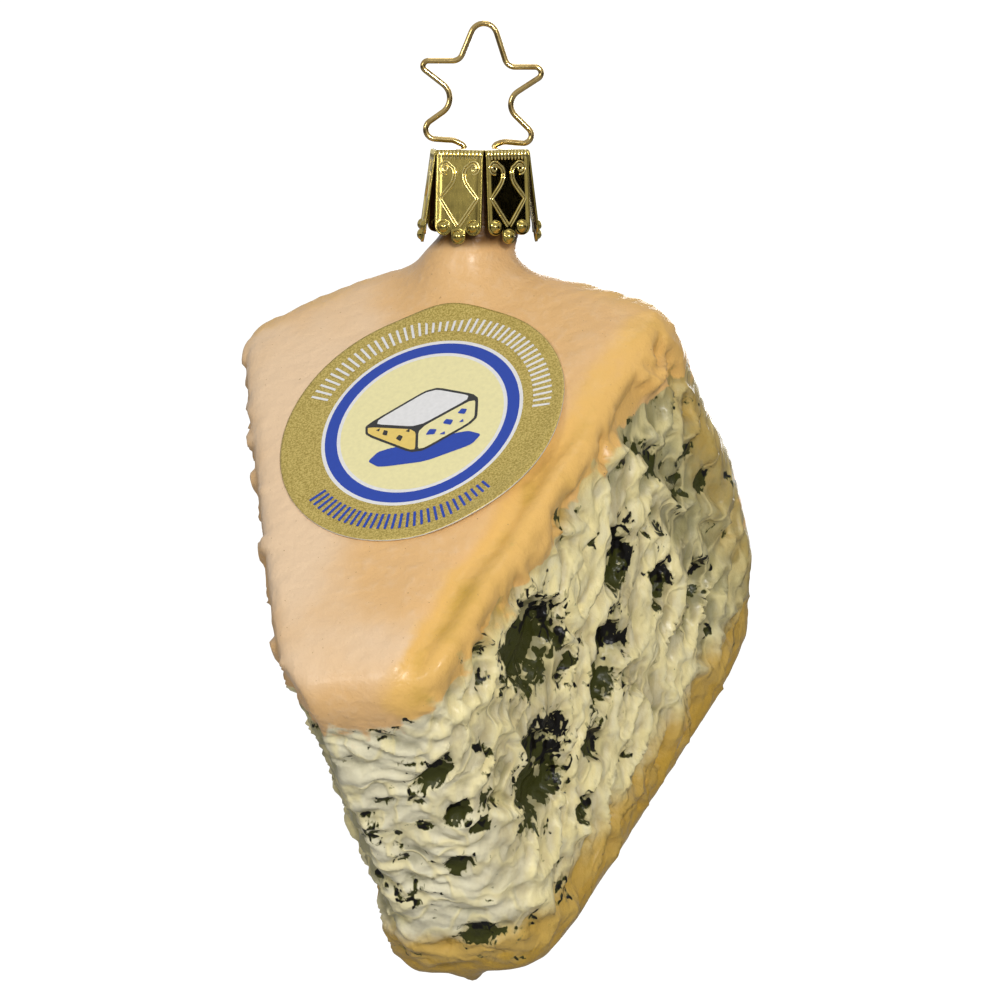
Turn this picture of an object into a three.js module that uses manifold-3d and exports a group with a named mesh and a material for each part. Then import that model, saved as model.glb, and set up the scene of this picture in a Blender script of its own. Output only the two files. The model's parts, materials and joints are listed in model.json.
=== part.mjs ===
// A mouth-blown glass tree ornament in the shape of a blue-cheese wedge, hung by its wire.
// Millimetres, +Z up, +Y away from the label side. The origin is the hang point: the inside
// of the star's top bend, where an ornament hook or a thread carries the weight.
import * as THREE from 'three';
import { mergeVertices } from 'three/addons/utils/BufferGeometryUtils.js';
import Module from 'manifold-3d';

const wasm = await Module();
wasm.setup();

const rad = THREE.MathUtils.degToRad;

// ---- Driving dimensions -------------------------------------------------------------------

// The wedge is a rounded solid between flat planes. Each plane is a distance from wedgeCentre.
const wedgeCentre = new THREE.Vector3(-9, -10.5, -71);
const wedgeAzimuth = rad(22.8);
const wedgeTilt = rad(47.5);
const wedgeRoll = rad(5.5);
const cutHalfAngle = rad(17.5);
const topDistance = 22.7;
const baseDistance = 32.9;
const rightCutDistance = 24.4;
const leftCutDistance = 12.1;
const noseDistance = 30.6;
const rindDistance = 36.6;
const rindLean = rad(20);
const rindRight = { angle: rad(22), distance: 42.4 };
const rindLeft = { angle: rad(33.5), distance: 38 };
const edgeSharpness = 10.6;
const wallThickness = 1;

// The shoulder swells up in a fillet to the root of the neck, which leans a little from the
// axis of the cap. The straight open neck stands on it, under the crown cap.
const neckRadius = 4.5;
const neckBoreRadius = 3.7;
const neckFlare = 1.3;
const neckRimRounding = 0.3;
const neckRootRadius = 4.3;
const neckFillet = 5.5;
const neckLean = -1.85;
const neckLeanLength = 4;
const neckFoot = -28;

// The cooled drip of glass at the lowest corner.
const nubPlace = new THREE.Vector3(-0.96, -11, -112.2);
const nubRadius = 1.9;
const nubLength = 1.7;

// The crown cap is pressed from thin sheet: a hexagonal plate and six turned-down tabs.
const sheet = 0.3;
const capTop = -14.6;
const capSide = 6.5;
const capCorner = rad(-85);
const tabWidth = 6.1;
const sideLobe = { across: 1.95, down: 9.5, radius: 1.05 };
const middleLobe = { down: 10.6, radius: 0.95 };
const tabFlares = [3, 7, 6, 7, 8, 3.5].map(rad);
const wireHole = 0.7;

// The hanger is one wire bent to a star, with two sprung legs down inside the neck.
const wireRadius = 0.35;
const wireSides = 8;
const wireSteps = 150;
const legX = { left: -1.87, right: 1.68 };

// The paper label is a slightly oval disc glued on the top face, longer towards the nose.
const labelRadius = 17.6;
const labelOval = { toNose: 1.08, toRightCut: 0.98 };
const labelPlace = { toNose: -10.7, toRightCut: 6.5 };
const labelThickness = 0.25;
const labelSides = 40;
const labelGap = 0.45;

// Clearance between pieces that touch, and the slack of a cut that runs past a surface.
const gap = 0.3;
const overrun = 1;

// ---- Solids and booleans ------------------------------------------------------------------

// Turns a closed geometry into a solid that can be joined and cut.
function toSolid(geometry) {
  const bare = geometry.clone();
  bare.deleteAttribute('normal');
  bare.deleteAttribute('uv');
  const merged = mergeVertices(bare, 1e-4);
  const mesh = new wasm.Mesh({
    numProp: 3,
    vertProperties: new Float32Array(merged.attributes.position.array),
    triVerts: new Uint32Array(merged.index.array),
  });
  return new wasm.Manifold(mesh);
}

function toGeometry(solid) {
  const mesh = solid.getMesh();
  const geometry = new THREE.BufferGeometry();
  geometry.setAttribute('position', new THREE.BufferAttribute(mesh.vertProperties, 3));
  geometry.setIndex(new THREE.BufferAttribute(mesh.triVerts, 1));
  geometry.computeVertexNormals();
  return geometry;
}

function joinAll(solids) {
  return solids.reduce((whole, solid) => whole.add(solid));
}

// A solid of revolution about a vertical axis; the profile is [radius, height] pairs.
function turned(profile, segments) {
  const points = profile.map(([radius, height]) => new THREE.Vector2(radius, height));
  return new THREE.LatheGeometry(points, segments).rotateX(Math.PI / 2);
}

function piece(name, geometry, colour, roughness, metalness) {
  const material = new THREE.MeshStandardMaterial({ color: colour, roughness, metalness });
  const mesh = new THREE.Mesh(geometry, material);
  mesh.name = name;
  return mesh;
}

// ---- The surface of the wedge ---------------------------------------------------------------

// Directions fixed to the wedge: out of the top face, from the rind to the nose, and across
// towards the right cut face.
const outOfTop = new THREE.Vector3(
  -Math.sin(wedgeAzimuth) * Math.cos(wedgeTilt),
  -Math.cos(wedgeAzimuth) * Math.cos(wedgeTilt),
  Math.sin(wedgeTilt),
);
const downSlope = new THREE.Vector3(
  -Math.sin(wedgeAzimuth) * Math.sin(wedgeTilt),
  -Math.cos(wedgeAzimuth) * Math.sin(wedgeTilt),
  -Math.cos(wedgeTilt),
);
const acrossSlope = new THREE.Vector3(Math.cos(wedgeAzimuth), -Math.sin(wedgeAzimuth), 0);
const toNose = blend(downSlope, Math.cos(wedgeRoll), acrossSlope, Math.sin(wedgeRoll));
const toRightCut = blend(acrossSlope, Math.cos(wedgeRoll), downSlope, -Math.sin(wedgeRoll));

function blend(first, firstShare, second, secondShare) {
  return first.clone().multiplyScalar(firstShare).addScaledVector(second, secondShare);
}

function plane(normal, distance) {
  return { normal: normal.clone().normalize(), distance };
}

const cutAcross = Math.cos(cutHalfAngle);
const cutAlong = Math.sin(cutHalfAngle);
const outOfRind = blend(toNose, -Math.cos(rindLean), outOfTop, -Math.sin(rindLean));

function rindSide({ angle, distance }, hand) {
  return plane(blend(toNose, -Math.cos(angle), toRightCut, hand * Math.sin(angle)), distance);
}

const wedgePlanes = [
  plane(outOfTop, topDistance),
  plane(outOfTop.clone().negate(), baseDistance),
  plane(blend(toRightCut, cutAcross, toNose, cutAlong), rightCutDistance),
  plane(blend(toRightCut, -cutAcross, toNose, cutAlong), leftCutDistance),
  plane(toNose, noseDistance),
  plane(outOfRind, rindDistance),
  rindSide(rindRight, 1),
  rindSide(rindLeft, -1),
];

// Union of two level values with a fillet of the given size between them.
function filletUnion(first, second, fillet) {
  const share = THREE.MathUtils.clamp(0.5 + (0.5 * (second - first)) / fillet, 0, 1);
  return second * (1 - share) + first * share - fillet * share * (1 - share);
}

// Negative inside the wedge and the root of its neck, positive outside, with every wall moved
// in by inset.
function wedgeLevel(point, inset) {
  const arm = point.clone().sub(wedgeCentre);
  let sum = 0;
  for (const { normal, distance } of wedgePlanes) {
    const reach = Math.max(0, arm.dot(normal)) / (distance - inset);
    sum += reach ** edgeSharpness;
  }
  const wedge = (sum ** (1 / edgeSharpness) - 1) * topDistance;
  const leaning = THREE.MathUtils.smoothstep(-point.z, -neckFoot - neckLeanLength, -neckFoot);
  const lean = neckLean * leaning;
  const around = Math.hypot(point.x - lean, point.y) - (neckRootRadius - inset);
  const neck = Math.max(around, point.z - neckFoot, wedgeCentre.z - point.z);
  return filletUnion(wedge, neck, neckFillet);
}

// The farthest point of the surface along a ray from a point inside it.
function surfacePoint(from, direction, inset) {
  let inside = 0;
  let outside = 90;
  for (let distance = outside; distance > 0; distance -= 1) {
    if (wedgeLevel(from.clone().addScaledVector(direction, distance), inset) < 0) {
      inside = distance;
      break;
    }
    outside = distance;
  }
  for (let step = 0; step < 16; step += 1) {
    const middle = (inside + outside) / 2;
    const level = wedgeLevel(from.clone().addScaledVector(direction, middle), inset);
    if (level < 0) inside = middle;
    else outside = middle;
  }
  return from.clone().addScaledVector(direction, (inside + outside) / 2);
}

// A closed skin: an icosphere whose points are thrown out to the surface.
function wedgeSkin(detail, inset) {
  const geometry = new THREE.IcosahedronGeometry(1, detail);
  const position = geometry.attributes.position;
  const direction = new THREE.Vector3();
  for (let i = 0; i < position.count; i += 1) {
    direction.fromBufferAttribute(position, i).normalize();
    const point = surfacePoint(wedgeCentre, direction, inset);
    position.setXYZ(i, point.x, point.y, point.z);
  }
  return geometry;
}

// ---- Glass body -----------------------------------------------------------------------------

// Hollow, about a millimetre thick, and open only at the neck.
function glassBody() {
  const neckTop = capTop - sheet - gap;
  const neck = toSolid(turned([
    [0, neckFoot - 4],
    [neckRadius + neckFlare, neckFoot - 4],
    [neckRadius + neckFlare / 2, neckFoot],
    [neckRadius, neckFoot + 3],
    [neckRadius, neckTop - neckRimRounding],
    [neckRadius - neckRimRounding, neckTop],
    [0, neckTop],
  ], 32));
  const bore = toSolid(turned([
    [0, neckFoot - 6],
    [neckBoreRadius, neckFoot - 6],
    [neckBoreRadius, neckTop + overrun],
    [0, neckTop + overrun],
  ], 24));
  const nub = toSolid(turned([
    [0, -nubLength],
    [nubRadius * 0.6, -nubLength + 0.2],
    [nubRadius * 0.9, -nubLength / 2],
    [nubRadius, 0],
    [nubRadius, 1],
    [0, 1],
  ], 16).translate(nubPlace.x, nubPlace.y, nubPlace.z));
  const outer = joinAll([toSolid(wedgeSkin(14, 0)), neck, nub]);
  return outer.subtract(toSolid(wedgeSkin(9, wallThickness))).subtract(bore);
}

// ---- Crown cap ------------------------------------------------------------------------------

// One tab, in its own plane: x across, y up, with the top edge on y = 0. Its lower edge is
// three round lobes, the middle one the lowest.
function tabOutline() {
  const half = tabWidth / 2;
  const outline = new THREE.Shape();
  outline.moveTo(-half, 0);
  outline.lineTo(-half, -sideLobe.down);
  outline.absarc(-sideLobe.across, -sideLobe.down, sideLobe.radius, Math.PI, Math.PI * 1.65, false);
  outline.absarc(0, -middleLobe.down, middleLobe.radius, Math.PI * 1.05, Math.PI * 1.95, false);
  outline.absarc(sideLobe.across, -sideLobe.down, sideLobe.radius, Math.PI * 1.35, Math.PI * 2, false);
  outline.lineTo(half, -sideLobe.down);
  outline.lineTo(half, 0);
  outline.closePath();
  return outline;
}

// The tab hangs from one side of the hexagon, its outer face flush with the plate's edge.
function tab(index) {
  const geometry = new THREE.ExtrudeGeometry(tabOutline(), {
    depth: sheet,
    bevelEnabled: false,
    curveSegments: 4,
  });
  const outward = capCorner + rad(30) + index * rad(60);
  const across = capSide * Math.cos(rad(30));
  geometry.translate(0, 0, -sheet);
  geometry.rotateX(Math.PI / 2);
  geometry.rotateX(-tabFlares[index]);
  geometry.translate(0, -across, capTop);
  geometry.rotateZ(outward + Math.PI / 2);
  return toSolid(geometry);
}

function hexagon(circumradius) {
  const corners = [];
  for (let i = 0; i < 6; i += 1) {
    const angle = capCorner + i * rad(60);
    corners.push(new THREE.Vector2(Math.cos(angle), Math.sin(angle)).multiplyScalar(circumradius));
  }
  return new THREE.Shape(corners);
}

function crownCap() {
  const outline = hexagon(capSide);
  for (const x of Object.values(legX)) {
    outline.holes.push(new THREE.Path().absarc(x, 0, wireHole, 0, Math.PI * 2));
  }
  const plate = toSolid(new THREE.ExtrudeGeometry(outline, {
    depth: sheet,
    bevelEnabled: false,
    curveSegments: 6,
  }).translate(0, 0, capTop - sheet));
  const tabs = tabFlares.map((_, index) => tab(index));
  return joinAll([plate, ...tabs]);
}

// ---- Star hanger ----------------------------------------------------------------------------

// The wire's centreline in the plane of the star, as corners with the bend radius at each.
// It starts at the end of the left leg and finishes at the end of the right leg.
const wireCorners = [
  { x: -4.6, z: -34, bend: 0 },
  { x: -2.6, z: -28.5, bend: 3 },
  { x: -2.7, z: -20, bend: 3 },
  { x: legX.left, z: -16.5, bend: 2 },
  { x: legX.left, z: -14.35, bend: 0.6 },
  { x: -3.1, z: -13.75, bend: 1.6 },
  { x: -8.7, z: -13.35, bend: 1.17 },
  { x: -2.2, z: -8.75, bend: 2.1 },
  { x: -8.05, z: -4.2, bend: 0.63 },
  { x: -2.45, z: -4.2, bend: 1.2 },
  { x: 0.65, z: 3.35, bend: 1.6 },
  { x: 3.3, z: -4.95, bend: 1.26 },
  { x: 9.1, z: -4.95, bend: 0.73 },
  { x: 2.6, z: -9.15, bend: 1.87 },
  { x: 7.85, z: -14.35, bend: 1 },
  { x: 2.8, z: -13.9, bend: 1.6 },
  { x: legX.right, z: -14.35, bend: 0.6 },
  { x: legX.right, z: -16.5, bend: 2 },
  { x: 2.7, z: -20, bend: 3 },
  { x: 2.3, z: -28.5, bend: 3 },
  { x: 3.8, z: -34, bend: 0 },
];

// Points of the arc that rounds the corner between two straight runs.
function bendPoints(before, corner, after, radius, steps) {
  const back = before.clone().sub(corner).normalize();
  const ahead = after.clone().sub(corner).normalize();
  const half = back.angleTo(ahead) / 2;
  const middle = back.clone().add(ahead).normalize();
  const centre = corner.clone().addScaledVector(middle, radius / Math.sin(half));
  const start = corner.clone().addScaledVector(back, radius / Math.tan(half)).sub(centre);
  const end = corner.clone().addScaledVector(ahead, radius / Math.tan(half)).sub(centre);
  const turn = start.angleTo(end);
  const points = [];
  for (let i = 0; i <= steps; i += 1) {
    const share = i / steps;
    points.push(centre.clone()
      .addScaledVector(start, Math.sin((1 - share) * turn) / Math.sin(turn))
      .addScaledVector(end, Math.sin(share * turn) / Math.sin(turn)));
  }
  return points;
}

function wireRoute() {
  const corners = wireCorners.map(({ x, z }) => new THREE.Vector3(x, 0, z));
  const route = [corners[0]];
  for (let i = 1; i < corners.length - 1; i += 1) {
    const bend = wireCorners[i].bend;
    route.push(...bendPoints(corners[i - 1], corners[i], corners[i + 1], bend, 6));
  }
  route.push(corners.at(-1));
  return route;
}

function starHanger() {
  const section = new THREE.Shape().absarc(0, 0, wireRadius, 0, Math.PI * 2);
  const route = new THREE.CatmullRomCurve3(wireRoute());
  return new THREE.ExtrudeGeometry(new THREE.Shape(section.getPoints(wireSides / 2)), {
    steps: wireSteps,
    bevelEnabled: false,
    extrudePath: route,
  });
}

// ---- Paper label ----------------------------------------------------------------------------

// A thin disc that follows the top face at a small distance from the glass.
function paperLabel() {
  const rings = [1, 0.93, 0.86, 0.66, 0.45, 0.22];
  const lift = { under: labelGap, over: labelGap + labelThickness };
  const profile = [[0, lift.under]];
  for (const share of [...rings].reverse()) profile.push([share * labelRadius, lift.under]);
  for (const share of rings) profile.push([share * labelRadius, lift.over]);
  profile.push([0, lift.over]);
  const disc = turned(profile, labelSides);
  const position = disc.attributes.position;
  for (let i = 0; i < position.count; i += 1) {
    const above = wedgeCentre.clone()
      .addScaledVector(toNose, labelPlace.toNose + labelOval.toNose * position.getX(i))
      .addScaledVector(toRightCut, labelPlace.toRightCut + labelOval.toRightCut * position.getY(i));
    const onGlass = surfacePoint(above, outOfTop, 0);
    onGlass.addScaledVector(outOfTop, position.getZ(i));
    position.setXYZ(i, onGlass.x, onGlass.y, onGlass.z);
  }
  return disc;
}

// ---- Assembly -------------------------------------------------------------------------------

const ornament = new THREE.Group();
ornament.add(piece('glass_body', toGeometry(glassBody()), 0xe3bd92, 0.25, 0));
ornament.add(piece('crown_cap', toGeometry(crownCap()), 0xb59a4a, 0.25, 1));
ornament.add(piece('star_hanger', starHanger(), 0xa8842f, 0.3, 1));
ornament.add(piece('label', paperLabel(), 0xb09a3c, 0.6, 0));

export default ornament;
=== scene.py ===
# A mouth-blown glass tree ornament in the shape of a blue-cheese wedge, hung by a star-shaped
# wire. The sections follow the object as it is put together: the glass is blown and painted,
# the wire is bent, the cap is pressed and clipped on, and the paper label is glued to the top
# face. Lengths named in millimetres are turned to metres when a mesh is made.
import itertools
import json
import math
from types import SimpleNamespace

import bmesh
import bpy
import numpy as np
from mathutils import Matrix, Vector

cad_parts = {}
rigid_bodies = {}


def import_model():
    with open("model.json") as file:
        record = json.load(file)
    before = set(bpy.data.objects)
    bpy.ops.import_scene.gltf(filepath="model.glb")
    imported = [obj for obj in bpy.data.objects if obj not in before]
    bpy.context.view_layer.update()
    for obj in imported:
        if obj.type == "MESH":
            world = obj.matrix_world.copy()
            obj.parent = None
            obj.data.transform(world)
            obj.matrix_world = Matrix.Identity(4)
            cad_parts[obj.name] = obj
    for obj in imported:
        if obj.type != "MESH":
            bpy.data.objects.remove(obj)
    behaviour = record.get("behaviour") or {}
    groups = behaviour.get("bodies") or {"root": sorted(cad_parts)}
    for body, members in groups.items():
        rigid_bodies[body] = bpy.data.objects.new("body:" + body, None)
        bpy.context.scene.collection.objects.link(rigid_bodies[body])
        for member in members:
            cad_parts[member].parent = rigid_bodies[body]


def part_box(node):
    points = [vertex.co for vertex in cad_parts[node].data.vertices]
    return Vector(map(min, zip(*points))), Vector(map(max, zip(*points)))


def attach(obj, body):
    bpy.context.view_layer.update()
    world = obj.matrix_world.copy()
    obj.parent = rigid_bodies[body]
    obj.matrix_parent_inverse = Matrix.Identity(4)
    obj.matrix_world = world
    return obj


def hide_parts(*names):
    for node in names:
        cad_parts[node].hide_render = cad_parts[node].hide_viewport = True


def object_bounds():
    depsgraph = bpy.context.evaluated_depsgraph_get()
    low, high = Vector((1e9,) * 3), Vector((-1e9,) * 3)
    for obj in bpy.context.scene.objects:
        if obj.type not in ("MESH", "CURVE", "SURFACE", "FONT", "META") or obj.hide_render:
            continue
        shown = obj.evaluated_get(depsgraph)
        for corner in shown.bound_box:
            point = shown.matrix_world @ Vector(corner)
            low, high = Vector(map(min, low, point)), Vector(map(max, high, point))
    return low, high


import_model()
cad_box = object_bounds()

# ---- Camera --------------------------------------------------------------------------------
# A long lens a little above the middle of the ornament, looking almost level, so that the
# label faces down the lens and the top plate of the cap is seen edge-on.
camera_rise = math.radians(4.5)
camera_distance = 0.9
frame_width = 0.12
cad_low, cad_high = (np.array(corner) for corner in cad_box)
ornament_height = cad_high[2] - cad_low[2]
view_centre = np.array([0.0024, -0.00447, -0.4955 * ornament_height])

camera_data = bpy.data.cameras.new("camera")
camera_data.sensor_width = 36
camera_data.lens = camera_data.sensor_width * camera_distance / frame_width
camera_data.clip_end = 100
camera = bpy.data.objects.new("camera", camera_data)
bpy.context.collection.objects.link(camera)
camera.rotation_euler = (math.radians(90) - camera_rise, 0, 0)
look = np.array([0, math.cos(camera_rise), -math.sin(camera_rise)])
camera.location = view_centre - look * camera_distance
bpy.context.scene.camera = camera

# ---- Glass body -----------------------------------------------------------------------------
# One thin skin of glass, blown down its own tube into a two-part mould. The mould gives the
# cut faces their torn curd and veins; the glass is silvered inside and painted outside, and
# the drip at the lowest corner is where it was sealed off.
MM = 0.001

wedge_centre = np.array([-9.0, -10.5, -71.0])
azimuth, tilt, roll = np.radians([22.8, 47.5, 5.5])
cut_half_angle, rind_lean, rind_right_angle, rind_left_angle = np.radians([17.5, 20, 22, 33.5])
edge_sharpness = 10.6
wall, wall_spare = 1.1, 0.5
neck_radius, neck_fillet, neck_lean, neck_foot = 4.3, 5.5, -1.85, -28.0
neck_root = neck_foot - 8
bore_radius = 3.5
neck_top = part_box("glass_body")[1][2] / MM
drip_place = (-0.96, -11.0)
# No point of the glass is as far from the wedge's centre as farthest; skin_step is the size
# of the skin's mesh.
farthest = 90.0
skin_step = 0.5

out_of_top = np.array([
    -math.sin(azimuth) * math.cos(tilt), -math.cos(azimuth) * math.cos(tilt), math.sin(tilt)])
down_slope = np.array([
    -math.sin(azimuth) * math.sin(tilt), -math.cos(azimuth) * math.sin(tilt), -math.cos(tilt)])
across_slope = np.array([math.cos(azimuth), -math.sin(azimuth), 0])
to_nose = math.cos(roll) * down_slope + math.sin(roll) * across_slope
to_right_cut = math.cos(roll) * across_slope - math.sin(roll) * down_slope
right_cut = math.cos(cut_half_angle) * to_right_cut + math.sin(cut_half_angle) * to_nose
left_cut = -math.cos(cut_half_angle) * to_right_cut + math.sin(cut_half_angle) * to_nose
out_of_rind = -math.cos(rind_lean) * to_nose - math.sin(rind_lean) * out_of_top
rind_right = -math.cos(rind_right_angle) * to_nose + math.sin(rind_right_angle) * to_right_cut
rind_left = -math.cos(rind_left_angle) * to_nose - math.sin(rind_left_angle) * to_right_cut

# Each flat face of the wedge: its outward normal and its distance from the wedge's centre.
faces = {
    "top": (out_of_top, 22.7),
    "base": (-out_of_top, 32.9),
    "right_cut": (right_cut, 24.4),
    "left_cut": (left_cut, 12.1),
    "nose": (to_nose, 30.6),
    "rind": (out_of_rind, 36.6),
    "rind_right": (rind_right, 42.4),
    "rind_left": (rind_left, 38.0),
}
face_normals = np.array([normal for normal, _ in faces.values()])
face_distances = np.array([distance for _, distance in faces.values()])


def ramp(value, low, high):
    """Smooth step from 0 at low to 1 at high; low may be the greater."""
    part = np.clip((value - low) / (high - low), 0, 1)
    return part * part * (3 - 2 * part)


def wedge_level(points, inset=0.0):
    """Below 0 inside the glass, above 0 outside, with every face moved in by inset."""
    reach = np.maximum(0, (points - wedge_centre) @ face_normals.T) / (face_distances - inset)
    body = ((reach ** edge_sharpness).sum(1) ** (1 / edge_sharpness) - 1) * faces["top"][1]
    lean = neck_lean * ramp(points[:, 2], neck_foot + 4, neck_foot)
    around = np.hypot(points[:, 0] - lean, points[:, 1]) - (neck_radius - inset)
    neck = np.maximum.reduce([around, points[:, 2] - neck_top, wedge_centre[2] - points[:, 2]])
    share = np.clip(0.5 + 0.5 * (neck - body) / neck_fillet, 0, 1)
    return neck * (1 - share) + body * share - neck_fillet * share * (1 - share)


def slope(points, inset=0.0):
    """Unit normals of the level surface through each point, and how steeply it rises."""
    step = 0.02
    rise = np.empty_like(points)
    for axis in range(3):
        offset = np.zeros(3)
        offset[axis] = step
        rise[:, axis] = wedge_level(points + offset, inset) - wedge_level(points - offset, inset)
    rise /= 2 * step
    steepness = np.linalg.norm(rise, axis=1, keepdims=True)
    return rise / np.maximum(steepness, 1e-6), steepness[:, 0]


def settle(points, inset=0.0, rounds=4):
    """Moves points along the slope until they lie on the level surface."""
    for _ in range(rounds):
        normals, steepness = slope(points, inset)
        step = np.clip(wedge_level(points, inset) / np.maximum(steepness, 0.2), -2, 2)
        points = points - normals * step[:, None]
    return points


def throw_out(directions, inset=0.0):
    """Where rays from the wedge's centre leave the glass for the last time."""
    inside = np.zeros(len(directions))
    for distance in np.arange(farthest, 0, -1.0):
        level = wedge_level(wedge_centre + directions * distance, inset)
        inside = np.where((inside == 0) & (level < 0), distance, inside)
    outside = inside + 1
    for _ in range(14):
        middle = (inside + outside) / 2
        level = wedge_level(wedge_centre + directions * middle[:, None], inset)
        inside = np.where(level < 0, middle, inside)
        outside = np.where(level < 0, outside, middle)
    return wedge_centre + directions * inside[:, None]


def swirl(points, size, seed):
    """Smooth random folds, about -0.7 to 0.7, as wide as size in millimetres on each axis."""
    # Every fold is flat at the corners of the lattice, so round numbers are moved off them.
    lattice, off_corner = 256, 50.3
    draw = np.random.default_rng(seed)
    leans = draw.normal(size=(lattice, 3))
    leans /= np.linalg.norm(leans, axis=1, keepdims=True)
    shuffle = draw.permutation(lattice)
    spots = points / np.asarray(size, float) + off_corner
    cells = np.floor(spots).astype(int)
    part = spots - cells
    fade = part ** 3 * (part * (part * 6 - 15) + 10)
    total = np.zeros(len(points))
    for corner in itertools.product((0, 1), repeat=3):
        corner = np.array(corner)
        x, y, z = ((cells + corner) % lattice).T
        lean = leans[shuffle[(shuffle[(shuffle[x] + y) % lattice] + z) % lattice]]
        weight = np.where(corner, fade, 1 - fade).prod(1)
        total += weight * ((part - corner) * lean).sum(1)
    return total


def crests(points, size, seed, sharpness):
    """Thin branching ridges: 1 on a crest line, falling to 0 in the hollows between."""
    return np.clip(1 - np.abs(swirl(points, size, seed)) / sharpness, 0, 1)


def face_axes(normal):
    """Level and rising directions in a face, seen from outside."""
    level = np.cross([0, 0, 1], normal)
    level /= np.linalg.norm(level)
    return level, np.cross(normal, level)


# The large veins and pockets of the visible faces: place of the middle (to the right and up
# the face from the wedge's centre), half sizes, lean in degrees, depth and mould in the floor.
cut_pockets = [
    (-10.5, 3.0, 6.6, 6.0, 20, 3.0, 1.0),
    (7.2, -0.5, 3.8, 6.8, -6, 2.6, 1.0),
    (-4.5, -13.0, 5.2, 6.4, 8, 2.8, 1.0),
    (7.1, 11.8, 3.2, 4.6, 8, 2.4, 1.0),
    (17.3, 8.2, 2.6, 3.3, 0, 2.0, 1.0),
    (26.2, 7.8, 2.0, 2.9, 0, 2.2, 1.0),
    (12.0, 15.0, 1.3, 1.5, -15, 1.2, 1.0),
    (6.8, -11.0, 2.6, 2.2, -30, 1.6, 0.9),
    (6.5, -18.0, 1.6, 2.0, -20, 1.6, 1.0),
    (-7.5, 19.0, 2.4, 3.2, -20, 1.0, 0.6),
    (12.5, 23.0, 2.9, 2.2, 0, 1.1, 0.75),
    (24.5, 20.5, 1.6, 2.0, 0, 1.2, 0.9),
    (20.0, 24.5, 2.8, 1.5, 30, 0.8, 0.7),
    (7.0, 29.5, 4.2, 4.6, 10, 1.4, 0.2),
    (12.0, 37.0, 1.5, 2.6, 0, 1.3, 0.0),
    (16.0, 32.5, 1.8, 2.0, 0, 1.2, 0.0),
    (32.0, 14.0, 1.6, 3.0, -10, 1.4, 0.3),
    (0.5, 26.0, 1.4, 2.6, 10, 1.0, 0.6),
]
nose_pockets = [
    (12.0, 7.0, 4.6, 1.6, 38, 1.6, 1.0),
    (17.6, 12.0, 1.5, 3.4, -12, 1.8, 1.0),
    (13.0, 0.0, 2.6, 1.2, 40, 1.4, 1.0),
    (11.5, -9.0, 2.2, 1.4, 40, 1.2, 1.0),
    (17.0, -11.0, 2.0, 0.8, 30, 1.0, 0.9),
    (12.0, -21.5, 3.6, 2.0, 12, 1.0, 0.9),
    (19.5, -15.5, 1.2, 1.6, -30, 1.0, 0.8),
    (4.0, 2.0, 2.2, 1.0, 20, 0.8, 0.6),
]


def pocket_fields(points, normal, pockets):
    """Depth of the pockets in a face, their mould, and painted shade under their upper walls."""
    level, rising = face_axes(normal)
    arm = points - wedge_centre
    along, up = arm @ level, arm @ rising
    ragged = 0.45 * swirl(points, 3.2, 11) + 0.35 * swirl(points, 1.5, 12)
    islands = ramp(swirl(points, (1.6, 1.6, 2.2), 28), 0.12, 0.22)
    depth = np.zeros(len(points))
    mould = np.full(len(points), -1.0)
    dark = np.full(len(points), 0.3)
    for right, rise, half_width, half_height, lean, deep, mouldy in pockets:
        angle = math.radians(lean)
        off = along - right
        over = up - rise
        across = (off * math.cos(angle) + over * math.sin(angle)) / half_width
        along_it = (over * math.cos(angle) - off * math.sin(angle)) / half_height
        out = np.hypot(across, along_it) + ragged * 0.8
        depth = np.maximum(depth, deep * ramp(out, 1.12, 0.62))
        inside = 1.7 * (mouldy - out) - 1.6 * islands * ramp(across, -0.1, 0.3)
        mould = np.maximum(mould, np.where(mouldy > 0, inside, -1))
        # Painted shade: darker towards the upper wall of each pocket, where its shadow falls on the
        # mould.
        wall_shade = 0.22 + 0.55 * along_it + 0.3 * across
        dark = np.where(out < 1.1, wall_shade, dark)
    return depth, mould, dark


def wedge_places(points):
    """Where points lie: the share of each face in them, and their distances in millimetres."""
    arm = points - wedge_centre
    reach = np.maximum(0, arm @ face_normals.T) / face_distances
    weight = reach ** edge_sharpness
    shares = (weight / weight.sum(1, keepdims=True)).T
    top, base, right, left, nose = shares[:5]
    cut = np.clip(right + left + nose, 0, 1)
    from_neck = np.hypot(points[:, 0], points[:, 1])
    under_neck = ramp(points[:, 2], neck_foot - 4, neck_foot - 9)
    warp = np.stack([swirl(points, 7, seed) for seed in (1, 2, 3)], axis=1) * 3.4
    return SimpleNamespace(
        plain=points, bent=points + warp, z=points[:, 2], above_centre=arm[:, 2],
        top=top, base=base, right=right, left=left, nose=nose, rind=shares[5:].sum(0),
        cut=cut, nose_share=nose / np.maximum(cut, 1e-3),
        under_top=faces["top"][1] - arm @ out_of_top,
        above_base=faces["base"][1] + arm @ out_of_top,
        from_ridge=faces["right_cut"][1] - arm @ right_cut,
        towards_nose=arm @ to_nose, towards_rind=arm @ rind_right,
        from_neck=from_neck, clear_of_neck=np.maximum(ramp(from_neck, 8, 15), under_neck))


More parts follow.
